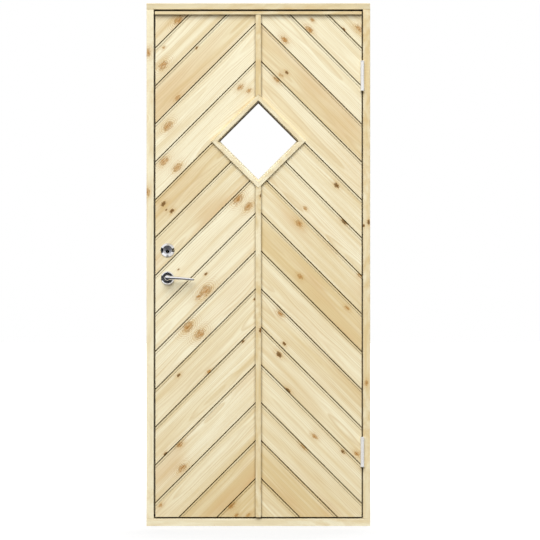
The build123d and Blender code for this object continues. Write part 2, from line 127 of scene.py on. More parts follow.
def layGrain(tree, piece, place, xyz):  # lengthwise, crosswise and depth distances, then what sets boards apart
    along = piece["along"]
    if along == "board":  # these boards carry their own distances
        grain = add(tree, attributeNode, {"attribute_name": "grain"}, None, "Vector")
        board = add(tree, attributeNode, {"attribute_name": "board"}, None, "Vector")
        seed, tone, heart = add(tree, splitNode, None, {0: board}, None)
        return grain, None, seed, tone, heart
    lengthwise, crosswise = (xyz[0], xyz[2]) if along == "x" else (xyz[2], xyz[0])
    if along in ("x", "z"):  # the rings lie aslant behind the front, so that the sides show lengthwise grain too
        behind = add(tree, mathNode, {"operation": "ADD", 1: piece.get("front", pine["front"]) * mm}, {0: xyz[1]})
        aslant = add(tree, mathNode, {"operation": "MULTIPLY", 1: pine["ringSlant"]}, {0: behind})
        crosswise = add(tree, mathNode, {"operation": "ADD"}, {0: crosswise, 1: aslant})
    if along == "diamond":  # each mitred bar runs along its own side of the window
        low = add(tree, mathNode, {"operation": "SUBTRACT", 1: window["centre"] * mm}, {0: xyz[2]})
        rising = add(tree, mathNode, {"operation": "ADD"}, {0: xyz[0], 1: low})
        falling = add(tree, mathNode, {"operation": "SUBTRACT"}, {0: xyz[0], 1: low})
        sizes = [add(tree, mathNode, {"operation": "ABSOLUTE"}, {0: side}) for side in (rising, falling)]
        onRising = add(tree, mathNode, {"operation": "LESS_THAN"}, {0: sizes[0], 1: sizes[1]})
        lengthwise = add(tree, mixNode, None, {0: onRising, 2: falling, 3: rising})
        crosswise = add(tree, mixNode, None, {0: onRising, 2: rising, 3: falling})
    if along == "back":  # upright boards side by side, each with its own chance values
        cover = backBoards["cover"] * mm
        count = add(tree, mathNode, {"operation": "DIVIDE", 1: cover}, {0: xyz[0]})
        number = add(tree, mathNode, {"operation": "FLOOR"}, {0: count})
        within = add(tree, mathNode, {"operation": "FRACT"}, {0: count})
        centred = add(tree, mathNode, {"operation": "SUBTRACT", 1: 0.5}, {0: within})
        crosswise = add(tree, mathNode, {"operation": "MULTIPLY", 1: cover}, {0: centred})
        chance = add(tree, chanceNode, {"noise_dimensions": "1D"}, {"W": number}, "Color")
        seed, toneChance, heart = add(tree, channelNode, None, {0: chance}, None)
        tone = add(tree, rangeNode, span(0.0, 1.0, *piece["tones"]), {0: toneChance})
    else:
        number = xyz[0]
        seed = add(tree, noiseNode, {"Scale": pine["seedScale"], "Detail": 0.0}, {"Vector": place})
        heart = add(tree, rangeNode, span(*noiseEnds, *pine["seedHeart"]), {0: seed})
        tone = add(tree, rangeNode, span(*noiseEnds, *piece["tones"]), {0: seed})
    grain = add(tree, joinNode, None, {0: lengthwise, 1: crosswise, 2: xyz[1]})
    return grain, number, seed, tone, heart


def scatterKnots(tree, stray, grain, number):  # one knot by chance in each cell
    cell = add(tree, vectorNode, {"operation": "MULTIPLY", 1: perSize(stray["cell"])}, {0: grain})
    seeded = add(tree, joinNode, None, {2: number})
    shifted = add(tree, vectorNode, {"operation": "ADD"}, {0: cell, 1: seeded})
    settings = {"voronoi_dimensions": "3D", "Scale": 1.0, "Randomness": pine["knotScatter"]}
    cells = add(tree, "ShaderNodeTexVoronoi", settings, {"Vector": shifted}, None)
    away = add(tree, vectorNode, {"operation": "SUBTRACT"}, {0: cells["Position"], 1: shifted})
    realSize = (stray["cell"][0] * mm, stray["cell"][1] * mm, 0)
    real = add(tree, vectorNode, {"operation": "MULTIPLY", 1: realSize}, {0: away})
    luck = add(tree, channelNode, None, {0: cells["Color"]})
    sizes = span(1 - stray["share"], 1.0, pine["knotLeast"] * mm, stray["radius"] * mm)
    size = add(tree, rangeNode, sizes, {0: luck})
    middle = add(tree, vectorNode, {"operation": "ADD"}, {0: grain, 1: real})
    parts = add(tree, splitNode, None, {0: middle}, None)
    return add(tree, joinNode, None, {0: parts[0], 1: parts[1], 2: size})


def findKnots(tree, piece, knotNames, grain, number):  # the grain parts round each knot like water round a post
    spots = [add(tree, attributeNode, {"attribute_name": spot}, None, "Vector") for spot in knotNames]
    if "strayKnots" in piece:
        spots.append(scatterKnots(tree, piece["strayKnots"], grain, number))
    for across, down, size in piece.get("seen", ()):
        x, z = photoPlace(across, down)
        spots.append(add(tree, joinNode, {0: z * mm, 1: x * mm, 2: size * mm}))
    found = {"ADD": None, "MINIMUM": None, "MAXIMUM": None}  # the shift in all, the nearest knot, whether it is dead
    for spot in spots:
        signedSize = add(tree, splitNode, None, {0: spot}, 2)
        reach = add(tree, vectorNode, {"operation": "SUBTRACT"}, {0: grain, 1: spot})
        beside = add(tree, splitNode, None, {0: reach}, 1)
        flat = add(tree, vectorNode, {"operation": "MULTIPLY", 1: (pine["knotStretch"], 1, 0)}, {0: reach})
        distance = add(tree, vectorNode, {"operation": "LENGTH"}, {0: flat}, "Value")
        size = add(tree, mathNode, {"operation": "ABSOLUTE"}, {0: signedSize})
        ratio = add(tree, mathNode, {"operation": "DIVIDE"}, {0: size, 1: distance})
        bend = add(tree, mathNode, {"operation": "POWER", 1: pine["knotBend"], "use_clamp": True}, {0: ratio})
        push = add(tree, mathNode, {"operation": "MULTIPLY"}, {0: bend, 1: beside})
        far = add(tree, mathNode, {"operation": "DIVIDE"}, {0: distance, 1: size})
        isDead = add(tree, mathNode, {"operation": "LESS_THAN", 1: 0.0}, {0: signedSize})
        isNear = add(tree, mathNode, {"operation": "LESS_THAN", 1: pine["deadReach"]}, {0: far})
        dead = add(tree, mathNode, {"operation": "MULTIPLY"}, {0: isDead, 1: isNear})
        for way, value in (("ADD", push), ("MINIMUM", far), ("MAXIMUM", dead)):
            so = found[way]
            found[way] = value if so is None else add(tree, mathNode, {"operation": way}, {0: so, 1: value})
    return found.values()


def grainNoise(tree, field, source, seedVector=None):  # a noise drawn out along the grain
    size, settings = pine[field]
    place = add(tree, vectorNode, {"operation": "MULTIPLY", 1: perSize(size)}, {0: source})
    if seedVector is not None:
        place = add(tree, vectorNode, {"operation": "ADD"}, {0: place, 1: seedVector})
    return add(tree, noiseNode, {"Scale": 1.0, **settings}, {"Vector": place})


def knotCoats(tree, grain, nearest, dead):  # thin circling lines, then furred patches with ragged edges and a dark rim
    ragged = grainNoise(tree, "ragged", grain)
    edge = add(tree, rangeNode, span(*noiseEnds, -pine["raggedEdge"], pine["raggedEdge"]), {0: ragged})
    near = add(tree, mathNode, {"operation": "ADD"}, {0: edge, 1: nearest})
    wide = add(tree, mathNode, {"operation": "MULTIPLY_ADD", 1: pine["haloRagged"]}, {0: edge, 2: nearest})
    fromRim = add(tree, mathNode, {"operation": "SUBTRACT", 1: pine["rimAt"]}, {0: near})
    edges = {"near": near, "wide": wide, "rim": add(tree, mathNode, {"operation": "ABSOLUTE"}, {0: fromRim})}
    circles = add(tree, mathNode, {"operation": "MULTIPLY_ADD", 1: pine["circlesEach"]}, {0: nearest, 2: ragged})
    circle = add(tree, mathNode, {"operation": "PINGPONG", 1: 0.5}, {0: circles})
    thin = add(tree, rangeNode, span(*pine["circleLine"], smooth=True), {0: circle})
    fade = add(tree, rangeNode, span(*pine["circleFade"], smooth=True), {0: nearest})
    coats = [("knotBody", add(tree, mathNode, {"operation": "MULTIPLY"}, {0: thin, 1: fade}))]
    fur = add(tree, rangeNode, span(*pine["fur"]), {0: grainNoise(tree, "stroke", grain)})
    for source, first, last, most, shade in pine["knotLayers"]:
        share = add(tree, rangeNode, span(first, last, most, 0.0, smooth=True), {0: edges[source]})
        coats.append((shade, add(tree, mathNode, {"operation": "MULTIPLY"}, {0: share, 1: fur})))
    loose = add(tree, rangeNode, span(*pine["deadEdge"], smooth=True), {0: near})
    coats.append(("knotDead", add(tree, mathNode, {"operation": "MULTIPLY"}, {0: loose, 1: dead})))
    return coats


def jointCoats(tree, xyz, distances):  # painted shade in the joints and the quirk beside each bead, and beside the batten and under the strip
    aside = add(tree, mathNode, {"operation": "ABSOLUTE"}, {0: distances[1]})
    nearEdge = add(tree, mathNode, {"operation": "GREATER_THAN", 1: chevron["jointZone"] * mm}, {0: aside})
    onQuirk = add(tree, mathNode, {"operation": "LESS_THAN", 1: chevron["beadZone"] * mm}, {0: aside})
    sunkShade = []
    # painted shade that deepens with depth in the joint and in the quirk
    for first, last, most in (chevron["jointShadeRamp"], chevron["quirkShadeRamp"]):
        sunkShade.append(add(tree, rangeNode, span(first * mm, last * mm, 0.0, most), {0: distances[2]}))
    sunk = add(tree, mixNode, None, {0: onQuirk, 2: sunkShade[0], 3: sunkShade[1]})
    deepShade = add(tree, mathNode, {"operation": "MULTIPLY"}, {0: sunk, 1: nearEdge})
    # painted shade, darkest beside the batten and under the drip strip
    fromMiddle = add(tree, mathNode, {"operation": "ABSOLUTE"}, {0: xyz[0]})
    first, last, most = chevron["battenShade"]
    besideBatten = add(tree, rangeNode, span(first * mm, last * mm, most, 0.0, smooth=True), {0: fromMiddle})
    first, last, most = chevron["stripShade"]
    underStrip = add(tree, rangeNode, span(first * mm, last * mm, 0.0, most), {0: xyz[2]})
    shade = add(tree, mathNode, {"operation": "MAXIMUM"}, {0: besideBatten, 1: underStrip})
    cutEnd = add(tree, attributeNode, {"attribute_name": "endGrain"}, None, "Fac")
    return [("jointPaintedShade", deepShade), ("paintedShade", shade), ("endGrain", cutEnd)]


def gapShadeCoat(tree, gapShade, xyz):  # painted shade in the gaps round the leaf: on the rebate that faces the leaf, and behind the boards
    aside = add(tree, mathNode, {"operation": "ABSOLUTE"}, {0: xyz[0]})
    inGapShade = add(tree, mathNode, {"operation": "GREATER_THAN", 1: gapShade[0] * mm}, {0: xyz[1]})
    for source, end in ((xyz[1], gapShade[1]), (aside, pine["gapShadeHalf"]), (xyz[2], pine["gapShadeTop"])):
        within = add(tree, mathNode, {"operation": "LESS_THAN", 1: end * mm}, {0: source})
        inGapShade = add(tree, mathNode, {"operation": "MULTIPLY"}, {0: inGapShade, 1: within})
    return "gapShade", inGapShade


def revealCoat(tree, reveal, xyz):  # painted shade on the sides of the opening, most of all on those that face down
    inside = add(tree, rangeNode, span(reveal[0] * mm, reveal[1] * mm, 0.0, reveal[2]), {0: xyz[1]})
    overhead = add(tree, mathNode, {"operation": "GREATER_THAN", 1: window["centre"] * mm}, {0: xyz[2]})
    either = add(tree, rangeNode, span(0.0, 1.0, pine["revealLow"], 1.0), {0: overhead})
    return "paintedShade", add(tree, mathNode, {"operation": "MULTIPLY"}, {0: inside, 1: either})


def planedPine(name, piece, knotNames=()):
    material, tree, shader = blank(name)
    place = add(tree, placeNode, None, None, "Object")
    xyz = add(tree, splitNode, None, {0: place}, None)
    grain, number, seed, tone, heart = layGrain(tree, piece, place, xyz)
    distances = add(tree, splitNode, None, {0: grain}, None)
    shift, nearest, dead = findKnots(tree, piece, knotNames, grain, number)

    # growth rings round a pith that wanders behind the face
    offset = add(tree, mathNode, {"operation": "MULTIPLY", 1: pine["seedSpread"]}, {0: seed})
    seedVector = add(tree, joinNode, None, {2: offset})
    wander = grainNoise(tree, "wander", grain, seedVector)
    stray = add(tree, rangeNode, span(0.0, 1.0, -pine["ringStray"] * mm, pine["ringStray"] * mm), {0: wander})
    luck = add(tree, mathNode, {"operation": "FRACT"}, {0: offset})
    pithAside = add(tree, rangeNode, span(0.0, 1.0, -pine["pithAside"] * mm, pine["pithAside"] * mm), {0: luck})
    across = add(tree, mathNode, {"operation": "SUBTRACT"}, {0: distances[1], 1: pithAside})
    if shift is not None:
        across = add(tree, mathNode, {"operation": "SUBTRACT"}, {0: across, 1: shift})
    depth = add(tree, mathNode, {"operation": "ADD", 1: pine["pithDepth"] * mm}, {0: distances[2]})
    fromPith = add(tree, joinNode, None, {0: across, 1: depth})
    radius = add(tree, vectorNode, {"operation": "LENGTH"}, {0: fromPith}, "Value")
    ringAt = add(tree, mathNode, {"operation": "ADD"}, {0: radius, 1: stray})
    ringCount = add(tree, mathNode, {"operation": "DIVIDE", 1: pine["ringWidth"] * mm}, {0: ringAt})
    ring = add(tree, mathNode, {"operation": "FRACT"}, {0: ringCount})
    rise = add(tree, rangeNode, span(*pine["ringRise"], smooth=True), {0: ring})
    drop = add(tree, rangeNode, span(*pine["ringDrop"], smooth=True), {0: ring})
    late = add(tree, mathNode, {"operation": "MULTIPLY"}, {0: rise, 1: drop})
    whole = add(tree, mathNode, {"operation": "FLOOR"}, {0: ringCount})
    yearPlace = add(tree, joinNode, None, {0: whole, 1: offset})
    year = add(tree, chanceNode, {"noise_dimensions": "2D"}, {"Vector": yearPlace}, "Value")
    yearMix = add(tree, rangeNode, span(0.0, 1.0, pine["faintYear"] * piece["lateMix"], piece["lateMix"]), {0: year})
    lateShare = add(tree, mathNode, {"operation": "MULTIPLY"}, {0: late, 1: yearMix})

    # colour: pale to honey by board, pinkish heartwood, latewood and fibres that bend with the grain, then the rest
    streak = grainNoise(tree, "streak", grain, seedVector)
    streakShare = add(tree, rangeNode, span(*pine["streakShare"]), {0: streak})
    warm = add(tree, mathNode, {"operation": "ADD", "use_clamp": True}, {0: tone, 1: streakShare})
    pale = {"data_type": "RGBA", 6: colour(pine["pale"]), 7: colour(pine["honey"])}
    painted = add(tree, mixNode, pale, {0: warm}, 2)
    if "dull" in piece:
        painted = add(tree, mixNode, {"data_type": "RGBA", 0: piece["dull"], 7: colour(pine["dull"])}, {6: painted}, 2)
    heartZone = add(tree, rangeNode, span(*pine["heartShare"], smooth=True), {0: wander})
    bent = add(tree, joinNode, None, {0: distances[0], 1: across})
    fibre = grainNoise(tree, "fibre", bent, seedVector)
    coats = [("heart", add(tree, mathNode, {"operation": "MULTIPLY"}, {0: heartZone, 1: heart})), ("late", lateShare),
             ("late", add(tree, rangeNode, span(*pine["fibreShare"]), {0: fibre}))]
    if nearest is not None:
        coats += knotCoats(tree, grain, nearest, dead)
    extra = jointCoats(tree, xyz, distances) if piece["along"] == "board" else []
    if "gapShade" in piece:
        extra.append(gapShadeCoat(tree, piece["gapShade"], xyz))
    if "reveal" in piece:
        extra.append(revealCoat(tree, piece["reveal"], xyz))
    for shade, share in coats + extra:
        painted = add(tree, mixNode, {"data_type": "RGBA", 7: colour(pine[shade])}, {0: share, 6: painted}, 2)
    tree.links.new(painted, shader.inputs["Base Color"])
    rough = add(tree, rangeNode, span(0.0, 1.0, *pine["roughness"]), {0: late})
    tree.links.new(rough, shader.inputs["Roughness"])
    bump = {"Strength": pine["reliefStrength"], "Distance": pine["relief"] * mm}
    tree.links.new(add(tree, bumpNode, bump, {"Height": late}), shader.inputs["Normal"])
    shader.inputs["Specular IOR Level"].default_value = pine["gloss"]
    if extra:  # the painted shade in the joints, the gaps and the opening has no gloss
        level = add(tree, rangeNode, span(0.0, 1.0, pine["gloss"], pine["shadeGloss"]), {0: extra[0][1]})
        tree.links.new(level, shader.inputs["Specular IOR Level"])
    return material


def newVerts(parts):
    return [part for part in parts if isinstance(part, bmesh.types.BMVert)]


def rotate(shape, degrees, axis, verts):
    bmesh.ops.rotate(shape, cent=(0, 0, 0), matrix=Matrix.Rotation(math.radians(degrees), 3, axis), verts=verts)


def sweep(shape, outline, start, length):  # an outline of depths and heights drawn along x
    end = shape.faces.new([shape.verts.new((start, depth, height)) for depth, height in outline])
    grown = bmesh.ops.extrude_face_region(shape, geom=[end])["geom"]
    bmesh.ops.translate(shape, vec=(length, 0, 0), verts=newVerts(grown))


def turn(shape, profile, x, z, steps):  # profile points are radius and depth, in millimetres
    points = [shape.verts.new((x + radius * mm, depth * mm, z)) for radius, depth in profile]
    edges = [shape.edges.new(pair) for pair in zip(points, points[1:])]
    bmesh.ops.spin(shape, geom=points + edges, cent=(x, 0, z), axis=(0, 1, 0), angle=math.radians(360),
                   steps=steps, use_merge=True, use_duplicate=False)


def finishPiece(name, shape, material, body, node, smoothTo):
    weld = 0.01 * mm
    bmesh.ops.remove_doubles(shape, verts=shape.verts, dist=weld)
    bmesh.ops.recalc_face_normals(shape, faces=shape.faces)
    mesh = bpy.data.meshes.new(name)
    shape.to_mesh(mesh)
    shape.free()
    mesh.shade_smooth()
    mesh.set_sharp_from_angle(angle=math.radians(smoothTo))
    piece = bpy.data.objects.new(name, mesh)
    scene.collection.objects.link(piece)
    mesh.materials.append(material)
    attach(piece, body)
    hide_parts(node)
    return piece


# chevron boards, tongued and grooved, mitred at the centre and stopped on the window casing
chevron = {
    "along": "board", "lateMix": 0.5,
    "cover": 106.7, "joint": 3.0, "apex": 2010.4, "rows": (-3, 13), "stoppedRows": (2, 3, 4), "rawEnds": (-900, 3000),
    "front": -46.0, "thickness": 16.0, "arris": 1.2,
    "bead": 6.7, "beadBack": 0.5, "quirk": 1.6, "quirkDepth": 1.3,
    "tongue": 8.5, "tongueThick": 5.0, "groove": 7.5, "grooveThick": 6.0, "rearShoulder": 2.0,
    "left": 409.3, "right": 410.6, "centreGap": 1.0, "low": 36.0, "top": 2046.6,
    "jointZone": 43.0, "beadZone": 45.2,  # mm from the middle of a board, where the quirk starts and ends
    # where painted shade begins and ends in millimetres, and the most there is of each: in the joints and quirks by
    # depth, beside the batten and under the strip
    "jointShadeRamp": (0.4, 1.9, 0.97), "quirkShadeRamp": (0.1, 0.7, 0.85),
    "battenShade": (10.0, 22.0, 0.4), "stripShade": (2005.0, 2035.0, 0.16),
    "seed": 11, "cutEnd": 0.9,
    # how honey-coloured each board is, from the top down
    "leftTone": (0.2, 0.2, 0.3, 0.1, 0.0, 0.65, 0.3, -0.05, 0.0, 0.0, 0.3, 0.35, 0.2, 0.4, 0.8, 0.9),
    "rightTone": (0.3, 0.0, -0.1, 0.5, 0.05, 0.3, 0.2, 0.45, 0.8, 0.3, 0.45, 0.35, 0.3, 0.55, 0.9, 0.6),
    # pink heartwood in each board
    "leftHeart": (0.2, 0.3, 0.5, 0.1, 0.1, 0.4, 1.0, 0.1, 0.3, 0.2, 0.2, 0.1, 0.6, 0.3, 0.9, 0.9),
    "rightHeart": (0.2, 0.1, 0.1, 0.6, 0.2, 0.1, 0.2, 0.6, 1.0, 0.2, 0.3, 0.2, 0.1, 0.6, 0.9, 0.3),
    # knots as seen in the photo: pixels across and down, radius in millimetres, less than nothing for a dead one
    "knots": (
        (178.7, 20.4, 12), (163.6, 47.8, 4), (196.6, 47.8, -3.5), (163.1, 65.4, 12), (177.5, 98, 7), (240.4, 87.4, 8),
        (248.9, 90.9, 6), (167.9, 126, 12), (163.9, 161.3, 11), (177.5, 167.7, 11), (163.6, 203.8, -7),
        (166.3, 209.8, -2.5), (171.9, 211, -6), (238, 199.5, 13), (248.4, 206.5, 11), (178.3, 269.6, -2.5),
        (205.8, 274, -4), (205.4, 290.8, 15), (199, 297, 8), (254.5, 299.3, -3), (187.8, 327, 14), (199.8, 334, 13),
        (242.8, 341.5, -4), (178.7, 375.3, -5), (208.9, 371.7, 5), (179.9, 444.3, 8), (165.5, 453.8, -5),
        (182.3, 468, 11), (160.7, 505.3, 5), (231.7, 505.7, 9), (236.5, 515, 5), (248.4, 515, 5),
        (312.2, 19.9, 5), (309, 29.5, 9), (359.2, 28.7, 10), (343.3, 29.5, -5), (284.3, 39.9, 9), (286.7, 72.5, -5),
        (281.1, 75.3, 5), (277.1, 79.7, 8), (336.6, 185.4, -7), (305.3, 208.4, 5), (299.4, 223.8, 9),
        (344.6, 221.5, -8), (300.2, 276.5, 7), (360, 275.7, 6), (347, 308, 6), (280.3, 313.6, 8), (284.3, 343.8, -5),
        (279.2, 354.5, -8), (287.5, 390.9, -8), (314.6, 436.3, 7), (304.2, 445.9, 8), (342.8, 451.8, -5),
        (356.8, 453.8, 7)),
    "knotSlots": ("knotA", "knotB", "knotC", "knotD", "knotE"),
    "noKnot": (-9.0, -9.0, 0.0001),  # metres, far off and tiny
}


def acrossBoards(x, z):  # distances up across the boards and along them
    return (z + abs(x)) * slant, (z - abs(x)) * slant


def layBoards(name, side, tones, hearts):
    c = chevron
    face = c["cover"] - c["joint"]
    bead = face - c["bead"]
    front, back = c["front"], c["front"] + c["thickness"]
    tongue = front + (c["thickness"] - c["tongueThick"]) / 2
    groove = front + (c["thickness"] - c["grooveThick"]) / 2
    beadFace = front + c["beadBack"]
    profile = (
        (front + c["arris"], 0), (front, c["arris"]), (front, bead - c["quirk"]),
        (front + c["quirkDepth"], bead - c["quirk"] / 2), (beadFace, bead), (beadFace, face - c["arris"]),
        (beadFace + c["arris"], face), (tongue, face), (tongue, face + c["tongue"]),
        (tongue + c["tongueThick"], face + c["tongue"]), (tongue + c["tongueThick"], face + c["rearShoulder"]),
        (back, face + c["rearShoulder"]), (back, 0), (groove + c["grooveThick"], 0),
        (groove + c["grooveThick"], c["groove"]), (groove, c["groove"]), (groove, 0))
    apexRise = c["apex"] * slant
    casingSide = window["centre"] * slant - window["casing"]
    trims = [((-c["left" if side < 0 else "right"], 0, 0), (-1, 0, 0)), ((-c["centreGap"], 0, 0), (1, 0, 0)),
             ((0, 0, c["low"]), (0, 0, -1)), ((0, 0, c["top"]), (0, 0, 1))]
    stopped = ((casingSide * slant, 0, casingSide * slant), (slant, 0, slant))
    whole = bmesh.new()
    rowOf = []
    for row in range(*c["rows"]):
        lowEdge = apexRise - (row + 1) * c["cover"] + c["joint"] / 2
        piece = bmesh.new()
        sweep(piece, [(depth, lowEdge + height) for depth, height in profile], *c["rawEnds"])
        rotate(piece, -45, "Y", piece.verts)
        for spot, outward in trims + ([stopped] if row in c["stoppedRows"] else []):
            bmesh.ops.bisect_plane(piece, geom=piece.verts[:] + piece.edges[:] + piece.faces[:],
                                   plane_co=spot, plane_no=outward, clear_outer=True)
            bmesh.ops.holes_fill(piece, edges=[e for e in piece.edges if e.is_boundary], sides=0)
        mesh = bpy.data.meshes.new("boardCut")
        piece.to_mesh(mesh)
        whole.from_mesh(mesh)
        rowOf += [row] * len(mesh.vertices)
        bpy.data.meshes.remove(mesh)
        piece.free()
    bmesh.ops.scale(whole, vec=(-side * mm, mm, mm), verts=whole.verts)
    bmesh.ops.recalc_face_normals(whole, faces=whole.faces)
    mesh = bpy.data.meshes.new(name)
    whole.to_mesh(mesh)
    whole.free()

    middles = {row: apexRise - (row + 0.5) * c["cover"] for row in range(*c["rows"])}
    knotsByRow = {row: [] for row in middles}
    for across, down, size in c["knots"]:
        x, z = photoPlace(across, down)
        if x * side > 0:
            rise, run = acrossBoards(x, z)
            row = math.floor((apexRise - rise) / c["cover"])
            knotsByRow[row].append((run * mm, (rise - middles[row]) * mm, size * mm))
    for knots in knotsByRow.values():
        knots.sort(key=lambda knot: -abs(knot[2]))
    chance = random.Random(c["seed"] + side)
    boards = {row: (chance.random(), tone, heart) for row, tone, heart in zip(middles, tones, hearts)}
    values = {key: [] for key in ("grain", "board") + c["knotSlots"]}
    for vertex, row in zip(mesh.vertices, rowOf):
        x, y, z = (part / mm for part in vertex.co)
        rise, run = acrossBoards(x, z)
        values["grain"] += (run * mm, (rise - middles[row]) * mm, (y - front) * mm)
        values["board"] += boards[row]
        for number, slot in enumerate(c["knotSlots"]):
            values[slot] += knotsByRow[row][number] if number < len(knotsByRow[row]) else c["noKnot"]
    for key, numbers in values.items():
        mesh.attributes.new(key, "FLOAT_VECTOR", "POINT").data.foreach_set("vector", numbers)
    # end grain is darker
    cutEnds = [float(max(abs(face.normal.x), abs(face.normal.z)) > c["cutEnd"]) for face in mesh.polygons]
    mesh.attributes.new("endGrain", "FLOAT", "FACE").data.foreach_set("value", cutEnds)
    board = bpy.data.objects.new(name, mesh)
    scene.collection.objects.link(board)
    return board


chevronPine = planedPine("chevronPine", chevron, chevron["knotSlots"])
for name, side, tones, hearts, node in (
        ("leftBoards", -1, chevron["leftTone"], chevron["leftHeart"], "left_chevron_boards"),
        ("rightBoards", 1, chevron["rightTone"], chevron["rightHeart"], "right_chevron_boards")):
    board = layBoards(name, side, tones, hearts)
    board.data.materials.append(chevronPine)
    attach(board, "leaf")
    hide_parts(node)
print("chevron boards laid")

# the rest of the joinery keeps its CAD shape, apart from the drip strip
# the gap shade and the reveal give depths of painted shade in millimetres, seen gives knots as in the photo, strayKnots
# gives others by chance
railKnots = {"cell": (420, 60), "share": 0.3, "radius": 5}
joinery = {
    "lockJambPine": {
        "along": "z", "lateMix": 0.4, "tones": (-0.15, 0.2), "gapShade": (-43.5, -20),
        "seen": ((148, 52.6, 9), (147.5, 192, 8)), "members": ("lock_jamb",)},
    "uprightPine": {
        "along": "z", "lateMix": 0.4, "tones": (0.5, 0.85), "front": 58.0,
        "seen": ((260.7, 195.7, -4), (260.7, 330.3, -6), (261.7, 488, 4)),
        "members": ("upper_centre_batten", "lower_centre_batten", "centre_muntin")},
    "stilePine": {
        "along": "z", "lateMix": 0.4, "tones": (0.25, 0.6), "gapShade": (-30.5, -29),
        "members": ("lock_stile", "hinge_stile")},
    "hingeJambPine": {
        "along": "z", "lateMix": 0.4, "tones": (0.35, 0.7), "gapShade": (-43.5, -20),
        "seen": ((364, 225.8, -3), (368.8, 222.3, -6), (366.4, 383.2, 6)), "members": ("hinge_jamb",)},
    "headPine": {
        "along": "x", "lateMix": 0.4, "tones": (0.3, 0.6), "dull": 0.45, "gapShade": (-43.5, -20),
        "strayKnots": railKnots,
        "members": ("frame_head",)},
    "sillPine": {
        "along": "x", "lateMix": 0.4, "tones": (0.1, 0.4), "strayKnots": railKnots,
        "members": ("frame_sill", "bottom_rail", "top_rail")},
    "stripPine": {
        "along": "x", "lateMix": 0.4, "tones": (0.6, 0.9), "strayKnots": {**railKnots, "radius": 4}, "members": ()},
    "mitredPine": {
        "along": "diamond", "lateMix": 0.4, "tones": (0.1, 0.4),
        "strayKnots": {"cell": (300, 60), "share": 0.2, "radius": 3},
        "members": ("window_battens", "window_back_battens", "glazing_beads")},
    "casingPine": {
        "along": "diamond", "lateMix": 0.2, "tones": (0.0, 0.25), "reveal": (-45.5, -40.0, 0.84),
        "members": ("window_casing",)},
    "backBoardPine": {
        "along": "back", "lateMix": 0.5, "tones": (0.0, 0.7),
        "strayKnots": {"cell": (330, 107), "share": 0.7, "radius": 11},
        "members": ("back_boards",)},
}
for name, piece in joinery.items():
    dress(piece["members"], planedPine(name, piece))

# drip strip along the top, with a weathered fall to the front
dripStrip = {"half": 411.0, "outline": ((-46, 2035), (-60, 2035), (-60, 2046.2), (-46, 2048.2)), "smoothTo": 20}
shape = bmesh.new()
outline = [(depth * mm, height * mm) for depth, height in dripStrip["outline"]]
sweep(shape, outline, -dripStrip["half"] * mm, 2 * dripStrip["half"] * mm)
finishPiece("dripStrip", shape, bpy.data.materials["stripPine"], "leaf", "drip_strip",
            dripStrip["smoothTo"])
print("joinery finished")

# finishes of the hardware, each with patches of a real size in millimetres
finishes = {
    # polished chrome on zinc die-cast: mirror bright, with a faint haze from handling
    "polishedChrome": {
        "colours": ("#EDEDEF",), "metal": 1.0, "roughness": (0.08, 0.13), "patch": 30.0, "detail": 3.0,
        "members": ("outside_rose", "inside_rose", "thumb_turn_rose", "thumb_turn")},
    # satin chrome of the lock face inside the ring: grey and soft, finely brushed
    "satinChrome": {
        "colours": ("#C9C9CE",), "metal": 1.0, "roughness": (0.32, 0.38), "patch": 3.0, "detail": 3.0, "members": ()},
    # blackened steel of the lock plug: dull and nearly black, worn paler in small patches
    "blackenedSteel": {
        "colours": ("#060607", "#151517"), "metal": 1.0, "roughness": (0.5, 0.65), "patch": 4.0, "detail": 3.0,
        "members": ("key_plug",)},
    # zinc-plated steel: satin, slightly mottled light grey
    "zincPlatedSteel": {
        "colours": ("#EFEEEC", "#FAFAF8"), "metal": 0.15, "roughness": (0.24, 0.28), "patch": 6.0, "detail": 4.0,
        "members": ("strike_plate", "upper_hinge_frame_half", "lower_hinge_frame_half", "upper_hinge_leaf_half",
                    "lower_hinge_leaf_half", "lock_case", "lock_bolts", "lever_spindle")},
    # black sealing rubber: matte, with a fine dusty bloom
    "sealRubber": {
        "colours": ("#1B1B1B", "#2A2A29"), "metal": 0.0, "roughness": (0.6, 0.75), "patch": 20.0, "detail": 4.0,
        "members": ("weather_seals",)},
}
finished = {}
for name, look in finishes.items():
    finished[name], tree, shader = blank(name)
    shader.inputs["Metallic"].default_value = look["metal"]
    place = add(tree, placeNode, None, None, "Object")
    patches = add(tree, noiseNode, {"Scale": 1 / (look["patch"] * mm), "Detail": look["detail"]}, {"Vector": place})
    first, last = colour(look["colours"][0]), colour(look["colours"][-1])
    if first == last:
        shader.inputs["Base Color"].default_value = first
    else:
        mottled = add(tree, mixNode, {"data_type": "RGBA", 6: first, 7: last}, {0: patches}, 2)
        tree.links.new(mottled, shader.inputs["Base Color"])
    rough = add(tree, rangeNode, span(*noiseEnds, *look["roughness"]), {0: patches})
    tree.links.new(rough, shader.inputs["Roughness"])
    dress(look["members"], finished[name])

